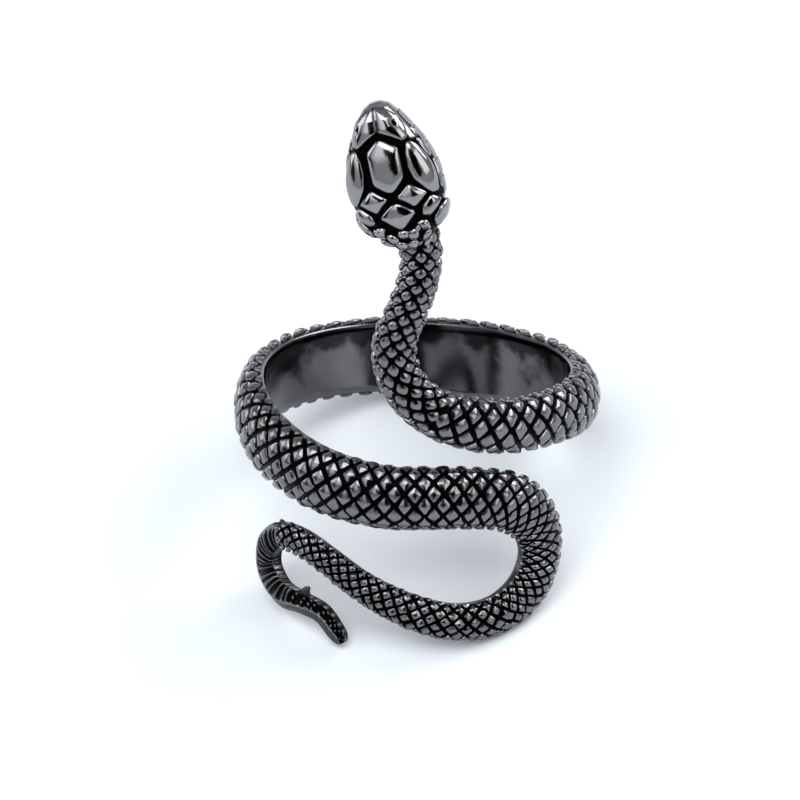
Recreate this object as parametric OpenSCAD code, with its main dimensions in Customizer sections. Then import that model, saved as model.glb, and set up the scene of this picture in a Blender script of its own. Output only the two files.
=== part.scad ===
// Snake wrap ring, cast in one piece, lying as it rests on a table.
// The snake is laid out on the finger's surface, unrolled: an angle round the finger,
// a height along it, and a distance out from it. wrap() rolls that sheet up again.
// The finger's axis is Z until the ring is laid down: then it leans back on the back of
// its band, the tail's loop and the tail's tip. Millimetres and degrees.

/* [Finger] */
// Inside diameter of the band
finger_d = 18; // [17.6:0.1:18.4]
// Height of the plain edge where the band meets the finger
edge_h = 0.35; // [0.25:0.05:0.5]

/* [Scales] */
// Half rows of scales from one edge of the band to the other
band_rows = 8; // [6:2:8]
// Half rows of scales on the neck and on the tail
slim_rows = 6; // [4:2:6]
// Length of a scale as a share of the breadth of the two half rows that it covers
scale_share = 1.2; // [1.15:0.05:1.5]
// Shortest scale, near the tail's hook
scale_min = 0.75; // [0.75:0.05:1]
// How far the scales stand out of the grooves between them
scale_rise = 0.25; // [0.1:0.05:0.3]
// Size of a scale's flat top as a share of the scale
scale_top = 0.62; // [0.5:0.02:0.75]

/* [Head] */
// Angle round the finger of the middle of the head
head_angle = -5; // [-8:0.5:-2]
// Height along the finger where the neck enters the head
head_base = 13.6; // [13.4:0.1:13.8]
// Turn of the head to the snake's left, seen from above it
head_yaw = 14.5; // [12:0.5:17]
// Roll of the head about its own length
head_roll = 6; // [0:1:8]
// Place of the neck's end, right of the head's middle
head_side = 0.6; // [0.4:0.05:0.7]
// Gap between the finger's surface and the middle of the head's thickness
head_lift = 2.2; // [2:0.1:2.5]
// How far the head's plates stand out of the grooves between them
plate_rise = 0.28; // [0.15:0.01:0.35]
// Width of the bevel round each plate, as a share of the plate
plate_bevel = 0.22; // [0.1:0.02:0.3]

/* [Tail] */
// Ridges across the tail's hook
hook_ridges = 26; // [12:1:32]
// Height of those ridges
ridge_rise = 0.14; // [0.05:0.01:0.2]

/* [Rest] */
// Lean of the finger's axis back from upright
lean_back = 26.6; // [26:0.05:28]
// Lean of the finger's axis to the right
lean_side = 6; // [5:0.05:6.5]
// How far the finger's axis is behind the middle of the ring's outline, at the band
rest_back = 2.01; // [1.5:0.01:2.5]

/* [Hidden] */
bore_r = finger_d / 2;
mm_per_degree = bore_r * PI / 180;
// Metal left inside the band for the bore to take away, and the length of that cut
bore_stock = 0.1;
bore_cut = 60;
casting_colour = "#55535a";

// The body from the tail's tip to the neck. Angle and height place its middle line on
// the finger; width and thick are its outer size; lift is the gap under it; base is the
// width of its inner face as a share of the whole.
ANGLE = 0;
HEIGHT = 1;
WIDTH = 2;
THICK = 3;
LIFT = 4;
BASE = 5;
BODY = [
    // angle, height, width, thick, lift, base
    [-27.5, -12.02, 1.1, 0.7, 0.2, 0.95],
    [-30.2, -11.3, 1.4, 0.85, 0.2, 0.85],
    [-36, -10.35, 1.65, 0.9, 0.2, 0.8],
    [-45.5, -10.05, 1.8, 1, 0.2, 0.8],
    [-56, -9.9, 2.15, 1.1, 0.2, 0.8],
    [-64.5, -8.8, 2.25, 1.2, 0.2, 0.8],
    [-64, -7.4, 2.15, 1.2, 0.2, 0.8],
    [-55.5, -6.3, 1.9, 1.2, 0.2, 0.8],
    [-44, -6.2, 1.9, 1.2, 0.2, 0.8],
    [-32, -6.9, 1.85, 1.25, 0.2, 0.8],
    [-18, -8.25, 2, 1.3, 0.2, 0.85],
    [0, -9.65, 2.3, 1.4, 0.2, 0.9],
    [15, -10.25, 2.4, 1.5, 0.2, 0.9],
    [30, -10, 2.6, 1.5, 0.2, 0.9],
    [42, -8.7, 2.8, 1.6, 0.2, 0.9],
    [47, -6.7, 3, 1.6, 0.2, 0.9],
    [43, -4.7, 3.3, 1.65, 0.2, 0.95],
    [31, -3.3, 3.6, 1.75, 0.15, 0.95],
    [12, -2.75, 3.85, 1.8, 0, 0.95],
    [-12, -2.65, 4, 1.8, 0, 0.95],
    [-36, -2.1, 4.2, 1.8, 0, 0.95],
    [-60, -1.2, 4.4, 1.8, 0, 0.95],
    [-90, -0.2, 4.7, 1.8, 0, 0.95],
    [-125, 0.15, 4.8, 1.8, 0, 0.95],
    [-165, 0.05, 4.9, 1.8, 0, 0.95],
    [-205, -0.2, 5.2, 1.8, 0, 0.95],
    [-240, 0, 4.8, 1.8, 0, 0.95],
    [-270, 0.45, 4, 1.8, 0, 0.95],
    [-300, 0.85, 3.5, 1.75, 0, 0.95],
    [-328, 1.2, 3.35, 1.75, 0, 0.9],
    [-347, 1.95, 3.1, 1.8, 0, 0.85],
    [-359, 3.1, 2.75, 1.85, 0.05, 0.75],
    [-366, 4.8, 2.5, 1.9, 0.2, 0.65],
    [-367.5, 6.7, 2.3, 1.95, 0.4, 0.6],
    [-364, 8.5, 2.15, 2, 0.7, 0.6],
    [-360.5, 10.3, 2.05, 2, 0.9, 0.6],
    [-359, 12, 2.05, 2, 1, 0.6],
    [-360.5, 13.9, 2.1, 2, 1.1, 0.6],
];
// Row of the table where the ridges of the tail end and the scales begin
scales_from = 7;
// The tail, band and neck: their first and last place in the table, and their half rows of
// scales. Each runs a little way into the next.
STRETCHES = [
    [scales_from, 16.25, slim_rows],
    [16.125, 29.75, band_rows],
    [29.625, len(BODY) - 1, slim_rows],
];

// The head along its length from the neck, with its half width and its height above and
// below its middle plane.
HEAD = [
    // along, half width, above, below
    [-0.7, 0.9, 0.7, 0.7],
    [0, 1.6, 1.15, 0.95],
    [0.7, 2.1, 1.4, 1.05],
    [1.6, 2.45, 1.6, 1.15],
    [2.6, 2.6, 1.7, 1.2],
    [3.8, 2.55, 1.7, 1.2],
    [5.2, 2.15, 1.6, 1.15],
    [6.2, 1.65, 1.4, 1.05],
    [7, 1.15, 1.15, 0.9],
    [7.45, 0.75, 0.85, 0.7],
    [7.65, 0.35, 0.4, 0.35],
];
// Fullness of the head's cross-section: 1 is an ellipse, less is squarer
head_full = 0.8;

// Plates right of the head's middle line, as corners [across, along] seen from above it,
// each going round anticlockwise. The left side mirrors them.
NOSE = [
    [0.05, 6.4], [0.65, 6.05], [1.2, 5.65], [1.5, 5.8],
    [1.3, 6.4], [0.95, 6.95], [0.55, 7.35], [0.05, 7.5],
];
BROW = [
    [1.3, 4.9], [1.3, 4.2], [1.5, 3.4], [1.85, 2.85], [2.15, 2.42], [2.4, 2.45],
    [2.47, 3.15], [2.38, 3.95], [2.14, 4.65], [1.82, 5.28], [1.6, 5.48], [1.42, 5.45],
];
CROWN = [[0.35, 2.6], [1.08, 1.92], [1.84, 2.52], [1.05, 3.2]];
NAPE = [[1.5, 1.8], [1.38, 1.3], [1.72, 1.2], [2.1, 1.5], [2.36, 1.9], [2, 2.25]];
COLLAR = [[0.92, 0.9], [1.1, 0.42], [1.42, 0.3], [1.45, 0.8], [1.25, 0.97]];
PAIRED = [NOSE, BROW, CROWN, NAPE, COLLAR];
// Plates on the middle line, given the same way
FOREHEAD = [[0, 2.97], [0.82, 3.7], [0.88, 5.35], [0, 5.92], [-0.72, 5.35], [-0.76, 3.55]];
OCCIPUT = [[0, 0.72], [0.98, 1.57], [0.1, 2.25], [-0.9, 1.55]];
SINGLE = [FOREHEAD, OCCIPUT];
// Round scales where the head meets the neck, [across, along], and their radius
BEADS = [[0.55, 0.1], [1.1, 0]];
bead_r = 0.3;
// Plates on the side of the head, as corners [turn, along] from its widest line
CHEEK = [[11, 4.15], [17, 4.1], [19, 3.2], [18, 2.5], [11, 2.35]];
LORE = [[11, 5.3], [25, 5.5], [26, 5.1], [22, 4.35], [12, 4.35]];
JAW = [[-14, 1.4], [10, 1.7], [38, 0.9], [32, 0.2], [-10, 0.3]];
SIDES = [CHEEK, LORE, JAW];
// The lip: plates in a row, from where to where along the head, and how many
LIP_FROM = 1.9;
LIP_TO = 7.1;
LIP_TURNS = [-26, 8];
lip_plates = 5;
lip_rise = 0.15;
lip_gap = 0.14;
// The eye, [turn, along], and its radius
EYE = [20, 5.88];
eye_r = 0.27;

// A smooth curve through the rows of a table, at place t counted in rows
function between(a, b, c, d, f) =
    0.5 * (2 * b + (c - a) * f + (2 * a - 5 * b + 4 * c - d) * f * f + (3 * b - a - 3 * c + d) * f * f * f);
function row_at(table, t) =
    let (last = len(table) - 1, i = max(0, min(floor(t), last - 1)))
    between(table[max(i - 1, 0)], table[i], table[i + 1], table[min(i + 2, last)], t - i);

// The body's middle line on the unrolled sheet, in millimetres, and its direction
function middle(t) = let (row = row_at(BODY, t)) [row[ANGLE] * mm_per_degree, row[HEIGHT]];
function heading(t) = let (step = middle(t + 0.01) - middle(t - 0.01)) step / norm(step);

// A place on the sheet, out from the finger, rolled up round the finger
function wrap(sheet, out) =
    let (turn = sheet[0] / mm_per_degree, r = bore_r + out)
    [r * sin(turn), -r * cos(turn), sheet[1]];
function beside(t, side, out) = let (d = heading(t)) wrap(middle(t) + side * [-d[1], d[0]], out);

// The outside of the body at t: turn goes from 0 at one edge over the top to 180 at the other
function skin(t, turn, rise) =
    let (
        row = row_at(BODY, t),
        half = row[WIDTH] / 2 - scale_rise,
        edge = edge_h + 1 - row[BASE],
        dome = row[THICK] - scale_rise - edge,
        normal = [dome * cos(turn), half * sin(turn)],
        place = [half * cos(turn), row[LIFT] + edge + dome * sin(turn)] + rise * normal / norm(normal)
    )
    beside(t, place[0], place[1]);
// The corners of the body's inner face: side is 1 or -1
function inner_half(t) = let (row = row_at(BODY, t)) (row[WIDTH] / 2 - scale_rise) * row[BASE];
function inner(t, side) = beside(t, side * inner_half(t), row_at(BODY, t)[LIFT] - bore_stock);

// Scales are counted along a stretch, each as long as its share of the width there. The
// count at places along it is kept, and a lookup gives the place of any count.
count_step = 0.125;
function scale_len(t, rows) = max(scale_min, scale_share * row_at(BODY, t)[WIDTH] * 2 / rows);
function counts(stretch) = [
    for (t = stretch[0], n = 0; t <= stretch[1];
         n = n + norm(middle(t + count_step) - middle(t)) / scale_len(t, stretch[2]), t = t + count_step)
        [n, t]
];
function last_count(list) = list[len(list) - 1][0];
function half_steps(list) = 2 * floor(last_count(list));

// The scaled skin of a stretch is one closed net. Grooves cross where i + j is even, and a
// scale stands where i + j is odd, with four corners of its raised top.
NETS = [
    for (stretch = STRETCHES)
        let (list = counts(stretch), steps = half_steps(list), rows = stretch[2])
        [steps, rows, [for (i = [0:steps]) lookup(i * last_count(list) / steps, list)]]
];
// Place along the body of step i, which lies between two steps next to a raised top's corner
function at_step(net, i) =
    let (low = floor(i), f = i - low)
    f == 0 ? net[2][i] : net[2][low] * (1 - f) + net[2][low + 1] * f;
function net_skin(net, i, j, rise) = skin(at_step(net, i), 180 * j / net[1], rise);
function crossings(net) =
    [for (i = [0:net[0]]) for (j = [i % 2:2:net[1]]) net_skin(net, i, j, 0)];
function scales(net) = [for (i = [1:net[0] - 1]) for (j = [1 + i % 2:2:net[1] - 1]) [i, j]];
function tops(net) = [
    for (s = scales(net))
        for (d = [[-1, 0], [0, -1], [1, 0], [0, 1]])
            net_skin(net, s[0] + d[0] * scale_top, s[1] + d[1] * scale_top, scale_rise)
];
function inners(net) = [for (i = [0:2:net[0]]) for (side = [1, -1]) inner(at_step(net, i), side)];
function flip(face, back) = back ? [for (k = [len(face) - 1:-1:0]) face[k]] : face;

module scaled_body(net) {
    steps = net[0];
    rows = net[1];
    cross_points = crossings(net);
    top_points = tops(net);
    first_top = len(cross_points);
    first_inner = first_top + len(top_points);
    scale_places = scales(net);
    function crossing(i, j) = floor(i / 2) * (rows + 1) + (i % 2) * (rows / 2 + 1) + floor(j / 2);
    function inner_at(i, side) = first_inner + i + (side == 1 ? 0 : 1);
    scale_faces = [
        for (k = [0:len(scale_places) - 1])
            let (
                i = scale_places[k][0],
                j = scale_places[k][1],
                foot = [crossing(i - 1, j), crossing(i, j - 1), crossing(i + 1, j), crossing(i, j + 1)],
                top = [for (c = [0:3]) first_top + 4 * k + c]
            )
            each concat(
                [
                    for (c = [0:3])
                        let (n = (c + 1) % 4)
                        each [[foot[c], foot[n], top[n]], [foot[c], top[n], top[c]]]
                ],
                [[top[0], top[1], top[2]], [top[0], top[2], top[3]]]
            )
    ];
    edge_faces = [
        for (i = [0:2:steps - 2])
            each [
                [crossing(i, 0), crossing(i + 2, 0), crossing(i + 1, 1)],
                [crossing(i, rows), crossing(i + 1, rows - 1), crossing(i + 2, rows)],
                [inner_at(i, 1), inner_at(i + 2, 1), crossing(i + 2, 0)],
                [inner_at(i, 1), crossing(i + 2, 0), crossing(i, 0)],
                [inner_at(i, -1), crossing(i, rows), crossing(i + 2, rows)],
                [inner_at(i, -1), crossing(i + 2, rows), inner_at(i + 2, -1)],
                [inner_at(i, 1), inner_at(i, -1), inner_at(i + 2, -1)],
                [inner_at(i, 1), inner_at(i + 2, -1), inner_at(i + 2, 1)],
            ]
    ];
    end_faces = [
        for (i = [0, steps])
            each concat(
                [
                    for (j = [1:2:rows - 1])
                        let (beyond = i == 0 ? 1 : steps - 1)
                        flip([crossing(i, j - 1), crossing(beyond, j), crossing(i, j + 1)], i > 0)
                ],
                [flip([inner_at(i, -1), inner_at(i, 1), for (j = [0:2:rows]) crossing(i, j)], i > 0)]
            )
    ];
    polyhedron(
        points = concat(cross_points, top_points, inners(net)),
        faces = concat(scale_faces, edge_faces, end_faces)
    );
}

// A closed skin through rings that have the same number of points
module loft(rings) {
    n = len(rings[0]);
    last = len(rings) - 1;
    sides = [
        for (r = [0:last - 1]) for (k = [0:n - 1])
            let (a = r * n + k, b = r * n + (k + 1) % n)
            each [[a, b + n, b], [a, a + n, b + n]]
    ];
    caps = [[for (k = [0:n - 1]) k], [for (k = [n - 1:-1:0]) last * n + k]];
    polyhedron(points = [for (r = rings) each r], faces = concat(sides, caps));
}

// The tail's hook and blade: ridges across its face, and a smooth bevel along its outside
RIB_TURNS = [60, 95, 130, 160];
module tail_end() {
    reach = scales_from + 0.4;
    loft([
        for (k = [0:2 * hook_ridges])
            let (t = reach * pow(k / (2 * hook_ridges), 0.85), rise = k % 2 == 0 ? 0 : ridge_rise)
            concat(
                [inner(t, -1), inner(t, 1), skin(t, 0, 0), skin(t, 30, 0)],
                [for (turn = RIB_TURNS) skin(t, turn, turn == RIB_TURNS[0] ? ridge_rise : rise)],
                [skin(t, 180, 0)]
            )
    ]);
}

// The head's skin: turn is 0 at its right side, 90 on top, 180 at its left and 270 below
HEAD_ROWS = [for (k = [0:len(HEAD) - 1]) [HEAD[k][0], k]];
function head_row(along) = row_at(HEAD, lookup(along, HEAD_ROWS));
function full(v) = sign(v) * pow(abs(v), head_full);
function head_skin(turn, along, rise) =
    let (
        row = head_row(along),
        tall = sin(turn) > 0 ? row[2] : row[3],
        normal = [tall * cos(turn), 0, row[1] * sin(turn)]
    )
    [row[1] * full(cos(turn)), along, tall * full(sin(turn))] + rise * normal / norm(normal);
// The turn that a corner has when it is given across the head
function turned(corner) =
    let (share = max(-1, min(1, corner[0] / head_row(corner[1])[1])))
    [acos(sign(share) * pow(abs(share), 1 / head_full)), corner[1]];
// The mirror image of a plate, still going round the same way
function left(corners) = [for (k = [len(corners) - 1:-1:0]) [180 - corners[k][0], corners[k][1]]];

head_sides = 16;
module head_form() {
    loft([for (row = HEAD) [for (k = [0:head_sides - 1]) head_skin(-k * 360 / head_sides, row[0], 0)]]);
}

// A raised plate over its corners [turn, along]: a low foot in the head, a bevel and a crown
plate_sink = 0.25;
module plate(corners, height = plate_rise) {
    n = len(corners);
    centre = [for (c = corners) 1] * corners / n;
    function ring(share, rise) =
        [for (c = corners) let (p = centre + (c - centre) * share) head_skin(p[0], p[1], rise)];
    points = concat(
        ring(1, -plate_sink),
        ring(1, height * 0.4),
        ring(1 - plate_bevel, height),
        [head_skin(centre[0], centre[1], height * 1.2)]
    );
    sides = [
        for (r = [0, n]) for (k = [0:n - 1])
            let (a = r + k, b = r + (k + 1) % n)
            each [[a, b + n, b], [a, a + n, b + n]]
    ];
    face = [for (k = [0:n - 1]) [2 * n + k, 3 * n, 2 * n + (k + 1) % n]];
    polyhedron(points = points, faces = concat([[for (k = [0:n - 1]) k]], sides, face));
}
module both_sides(corners, height = plate_rise) {
    plate(corners, height);
    plate(left(corners), height);
}
// A round scale, drawn as a plate with six corners on the head's skin
function round_scale(place, radius) =
    let (row = head_row(place[1]), across = radius / row[1] * 57)
    [for (a = [0:60:300]) place + [-across * cos(a), radius * sin(a)]];

module head() {
    head_form();
    for (corners = SINGLE) plate([for (c = corners) turned(c)]);
    for (corners = PAIRED) both_sides([for (c = corners) turned(c)]);
    for (corners = SIDES) both_sides(corners);
    for (place = BEADS) both_sides(round_scale(turned(place), bead_r));
    both_sides(round_scale(EYE, eye_r));
    lip_len = (LIP_TO - LIP_FROM) / lip_plates;
    for (k = [0:lip_plates - 1]) {
        low = LIP_FROM + k * lip_len + lip_gap / 2;
        high = LIP_FROM + (k + 1) * lip_len - lip_gap / 2;
        lip = [[LIP_TURNS[0], low], [LIP_TURNS[0], high], [LIP_TURNS[1], high], [LIP_TURNS[1], low]];
        both_sides(lip, lip_rise);
    }
}
// The head lies along the finger, in front of it, and turns and rolls a little to its left
module placed_head() {
    rotate([0, 0, head_angle])
        translate([head_side, -bore_r - head_lift, head_base])
            rotate([90, 0, 0])
                rotate([0, 0, head_yaw])
                    rotate([0, -head_roll, 0])
                        head();
}

// Merges the pieces of the casting into one skin, at the size they have
module one_skin() {
    resize([0, 0, 0]) union() children();
}

// The body with the finger's bore through it, and the head, which stays clear of the bore
module casting() {
    difference() {
        one_skin() {
            for (net = NETS) scaled_body(net);
            tail_end();
        }
        cylinder(h = bore_cut, r = bore_r, center = true, $fn = 180);
    }
    one_skin() placed_head();
}

// Laid down, the ring leans back and to the right, and its lowest points are at height 0
function leaned(p) =
    let (
        y = p[1] * cos(lean_back) + p[2] * sin(lean_back),
        z = p[2] * cos(lean_back) - p[1] * sin(lean_back)
    )
    [p[0] * cos(lean_side) + z * sin(lean_side), y, z * cos(lean_side) - p[0] * sin(lean_side)];
TIP = [for (side = [1, -1]) inner(0, side)];
OUTSIDE = [for (net = NETS) each concat(crossings(net), tops(net))];
lowest = min([for (p = concat(OUTSIDE, TIP)) leaned(p)[2]]);

module snake_ring() {
    color(casting_colour)
        translate([0, rest_back, -lowest])
            rotate([-lean_back, lean_side, 0])
                casting();
}

snake_ring();
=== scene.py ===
import contextlib
import math
import random

import bpy
import numpy as np
from mathutils import Matrix, Vector


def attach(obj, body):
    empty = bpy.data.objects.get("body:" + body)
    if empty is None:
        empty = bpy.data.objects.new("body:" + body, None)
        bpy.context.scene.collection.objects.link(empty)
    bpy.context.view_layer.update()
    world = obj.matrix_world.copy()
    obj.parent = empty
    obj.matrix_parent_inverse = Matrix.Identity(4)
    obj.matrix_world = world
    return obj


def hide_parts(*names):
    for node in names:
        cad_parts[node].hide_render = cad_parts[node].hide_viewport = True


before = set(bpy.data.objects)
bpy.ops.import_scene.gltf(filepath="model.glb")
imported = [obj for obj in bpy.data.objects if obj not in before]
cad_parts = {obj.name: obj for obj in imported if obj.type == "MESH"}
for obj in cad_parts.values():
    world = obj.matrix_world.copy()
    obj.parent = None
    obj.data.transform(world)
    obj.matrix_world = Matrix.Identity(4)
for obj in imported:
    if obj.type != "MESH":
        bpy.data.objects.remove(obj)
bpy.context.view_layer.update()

# Snake wrap ring in cast zinc alloy, plated black nickel. The shapes are worked out in
# millimetres on the finger's surface, unrolled, as the casting's source does it, then
# rolled up round the finger and laid down as the ring rests on a table.
random.seed(7)
MM = 0.001

# ---------------------------------------------------------------- the snake's body, as a table
# angle round the finger, height along it, width, thickness, gap under it, base share
BODY = np.array([
    (-27.5, -12.02, 1.3, 0.7, 0.2, 0.95), (-30.2, -11.3, 1.52, 0.85, 0.2, 0.85),
    (-36, -10.35, 1.65, 0.9, 0.2, 0.8), (-45.5, -10.05, 1.8, 1, 0.2, 0.8),
    (-56, -9.9, 2.15, 1.1, 0.2, 0.8), (-64.5, -8.8, 2.25, 1.2, 0.2, 0.8),
    (-64, -7.4, 2.15, 1.2, 0.2, 0.8), (-55.5, -6.3, 1.9, 1.2, 0.2, 0.8),
    (-44, -6.2, 1.9, 1.2, 0.2, 0.8), (-32, -6.9, 1.85, 1.25, 0.2, 0.8),
    (-18, -8.25, 2, 1.3, 0.2, 0.85), (0, -9.65, 2.3, 1.4, 0.2, 0.9),
    (15, -10.25, 2.4, 1.5, 0.2, 0.9), (30, -10, 2.6, 1.5, 0.2, 0.9),
    (42, -8.7, 2.8, 1.6, 0.2, 0.9), (47, -6.7, 3, 1.6, 0.2, 0.9),
    (43, -4.7, 3.3, 1.65, 0.2, 0.95), (31, -3.3, 3.6, 1.75, 0.15, 0.95),
    (12, -2.75, 3.85, 1.8, 0, 0.95), (-12, -2.65, 4, 1.8, 0, 0.95),
    (-36, -2.1, 4.2, 1.8, 0, 0.95), (-60, -1.2, 4.4, 1.8, 0, 0.95),
    (-90, -0.2, 4.7, 1.8, 0, 0.95), (-125, 0.15, 4.8, 1.8, 0, 0.95),
    (-165, 0.05, 4.9, 1.8, 0, 0.95), (-205, -0.2, 5.2, 1.8, 0, 0.95),
    (-240, 0, 4.8, 1.8, 0, 0.95), (-270, 0.45, 4, 1.8, 0, 0.95),
    (-300, 0.85, 3.5, 1.75, 0, 0.95), (-328, 1.2, 3.35, 1.75, 0, 0.9),
    (-347, 1.95, 3.1, 1.8, 0, 0.85), (-359, 3.1, 2.75, 1.85, 0.05, 0.75),
    (-366, 4.8, 2.5, 1.9, 0.2, 0.65), (-367.5, 6.7, 2.3, 1.95, 0.4, 0.6),
    (-364, 8.5, 2.15, 2, 0.7, 0.6), (-360.5, 10.3, 2.05, 2, 0.9, 0.6),
    (-359, 12, 2.05, 2, 1, 0.6), (-360.5, 13.9, 2.1, 2, 1.1, 0.6),
])
ANGLE, HEIGHT, WIDTH, THICK, LIFT, BASE = range(6)
BORE_R = 9.0
MM_PER_DEGREE = BORE_R * math.pi / 180
# the upright edge below the dome, and how far the scales stand out
EDGE_H, SCALE_RISE = 0.35, 0.25
# the metal reaches this far into the gap under a raised stretch
UNDER_DROP = 0.1
# a small step along the body, in rows of the table
FINE = 0.01

# ---------------------------------------------------------------- how the ring lies
LEAN_BACK, LEAN_SIDE = math.radians(26.6), math.radians(6)
REST = np.array([0, 2.01, 6.8238])


def turn_x(a):
    return np.array([[1, 0, 0], [0, math.cos(a), -math.sin(a)], [0, math.sin(a), math.cos(a)]])


def turn_y(a):
    return np.array([[math.cos(a), 0, math.sin(a)], [0, 1, 0], [-math.sin(a), 0, math.cos(a)]])


def turn_z(a):
    return np.array([[math.cos(a), -math.sin(a), 0], [math.sin(a), math.cos(a), 0], [0, 0, 1]])


LAID = turn_y(LEAN_SIDE) @ turn_x(-LEAN_BACK)
FINGER_AXIS = LAID[:, 2]


def laid(points):
    """Points of the upright ring, in mm, as they lie on the table, in metres."""
    return (points @ LAID.T + REST) * MM


# ---------------------------------------------------------------- the shapes' own geometry
def row_at(table, t):
    """A smooth curve through the rows of a table, at places t counted in rows."""
    t = np.asarray(t, float)
    last = len(table) - 1
    i = np.clip(np.floor(t).astype(int), 0, last - 1)
    f = (t - i)[..., None]
    a, b = table[np.maximum(i - 1, 0)], table[i]
    c, d = table[i + 1], table[np.minimum(i + 2, last)]
    return 0.5 * (2 * b + (c - a) * f + (2 * a - 5 * b + 4 * c - d) * f ** 2
                  + (3 * b - a - 3 * c + d) * f ** 3)


def middle(t):
    """The body's middle line on the unrolled finger: round it and along it, in mm."""
    row = row_at(BODY, t)
    return np.stack([row[..., ANGLE] * MM_PER_DEGREE, row[..., HEIGHT]], -1)


def place(t, across, out):
    """A place beside the body's middle line and out from the finger, rolled up."""
    step = middle(t + FINE) - middle(t - FINE)
    d = step / np.linalg.norm(step, axis=-1, keepdims=True)
    sheet = middle(t) + across[..., None] * np.stack([-d[..., 1], d[..., 0]], -1)
    angle, r = sheet[..., 0] / BORE_R, BORE_R + out
    return np.stack([r * np.sin(angle), -r * np.cos(angle), sheet[..., 1]], -1)


def section(t, turn, rise):
    """Across and out on the body's outside: turn is 0 at one edge, 90 on top, 180 at the other."""
    row, a = row_at(BODY, t), np.radians(turn)
    half = row[..., WIDTH] / 2 - SCALE_RISE
    edge = EDGE_H + 1 - row[..., BASE]
    dome = row[..., THICK] - SCALE_RISE - edge
    nx, ny = dome * np.cos(a), half * np.sin(a)
    n = np.hypot(nx, ny)
    return (half * np.cos(a) + rise * nx / n,
            row[..., LIFT] + edge + dome * np.sin(a) + rise * ny / n)


# ---------------------------------------------------------------- working with meshes
def only(obj):
    bpy.ops.object.select_all(action="DESELECT")
    obj.select_set(True)
    bpy.context.view_layer.objects.active = obj


def added(primitive, **size):
    """Adds a primitive with nothing else selected."""
    bpy.ops.object.select_all(action="DESELECT")
    primitive(**size)
    return bpy.context.object


def copied(obj):
    """A copy with a mesh of its own."""
    copy = obj.copy()
    copy.data = obj.data.copy()
    bpy.context.collection.objects.link(copy)
    return copy


@contextlib.contextmanager
def editing(obj):
    """Edit mode, with all of the object selected."""
    only(obj)
    bpy.ops.object.mode_set(mode="EDIT")
    bpy.ops.mesh.select_all(action="SELECT")
    yield
    bpy.ops.object.mode_set(mode="OBJECT")


def extrude(*move):
    bpy.ops.mesh.extrude_region_move(TRANSFORM_OT_translate={"value": move})


def resize(*shares):
    bpy.ops.transform.resize(value=shares)


def face_outwards(obj):
    with editing(obj):
        bpy.ops.mesh.normals_make_consistent(inside=False)


def points_of(obj):
    p = np.empty(len(obj.data.vertices) * 3)
    obj.data.vertices.foreach_get("co", p)
    return p.reshape(-1, 3)


def put(obj, points):
    obj.data.vertices.foreach_set("co", np.ascontiguousarray(points, float).ravel())
    obj.data.update()


def keep_relief(obj, values):
    """How far each point stands out of the grooves: 0 in a groove, 1 on a polished top."""
    attributes = obj.data.attributes
    relief = attributes.get("relief") or attributes.new("relief", "FLOAT", "POINT")
    relief.data.foreach_set("value", np.ascontiguousarray(values, float).ravel())


def joined(parts, name):
    bpy.ops.object.select_all(action="DESELECT")
    for part in parts:
        part.select_set(True)
    bpy.context.view_layer.objects.active = parts[0]
    bpy.ops.object.join()
    piece = bpy.context.object
    piece.name = piece.data.name = name
    return piece


def tube(name, ts, columns, shape):
    """A grid rolled into a closed tube: rows at the places ts, and shape(t, column) round it."""
    obj = added(bpy.ops.mesh.primitive_grid_add, x_subdivisions=columns,
                y_subdivisions=len(ts) - 1, size=1)
    obj.name = name
    p = points_of(obj)
    k = np.rint((p[:, 0] + 0.5) * columns).astype(int) % columns
    t = ts[np.rint((p[:, 1] + 0.5) * (len(ts) - 1)).astype(int)]
    points, relief = shape(t, k)
    put(obj, points)
    keep_relief(obj, relief)
    with editing(obj):
        bpy.ops.mesh.remove_doubles(threshold=1e-7)
        bpy.ops.mesh.select_all(action="SELECT")
        bpy.ops.mesh.fill_holes(sides=0)
    face_outwards(obj)
    return obj


# ---------------------------------------------------------------- materials
def linear(hex_colour):
    """An sRGB hex colour as linear red, green, blue and alpha."""
    value = [int(hex_colour[i:i + 2], 16) / 255 for i in (1, 3, 5)]
    return [v / 12.92 if v <= 0.04045 else ((v + 0.055) / 1.055) ** 2.4 for v in value] + [1]


def node(tree, kind, settings=None, stops=(), **inputs):
    """Adds a node. Settings are its own properties, stops a ramp's places and colours. Inputs
    are values or sockets to link, by name, or by number as i0, i1 and so on."""
    n = tree.nodes.new(kind)
    for key, value in (settings or {}).items():
        setattr(n, key, value)
    elements = n.color_ramp.elements if stops else ()
    while len(elements) < len(stops):
        elements.new(0.5)
    for element, (at, colour) in zip(elements, stops):
        element.position, element.color = at, linear(colour)
    for key, value in inputs.items():
        numbered = key[0] == "i" and key[1:].isdigit()
        socket = n.inputs[int(key[1:]) if numbered else key.replace("_", " ")]
        if isinstance(value, bpy.types.NodeSocket):
            tree.links.new(value, socket)
        else:
            socket.default_value = value
    return n


# how far the roughness varies either way
ROUGH_SWING = 0.04
# hairline marks of polishing and handling, about 0.11 mm apart
MARKS_PER_MM = 9
# how deep the soft waves of the polish and the hairline marks are, in mm, at full strength
WAVE_DEPTH, MARK_DEPTH = 0.06, 0.02
# the oxide in the grooves, and between which heights of the relief it thins out
OXIDE, OXIDE_ROUGH = "#060607", 0.5
OXIDE_TO, POLISH_FROM = 0.5, 0.98
# the painted shade inside the band, in black clouds: its colour and cover, how big its clouds are
# and over how many mm of the finger's axis they grow, and where on that axis they set in, and how
# softly
BORE_SHADE, BORE_SHADE_COVER = "#101012", 0.86
CLOUD_MM, BORE_SHADE_MM = 1.9, 6.5
BORE_SHADE_FROM, BORE_SHADE_SOFT = 0.52 + FINGER_AXIS @ REST / BORE_SHADE_MM, 0.22


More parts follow.
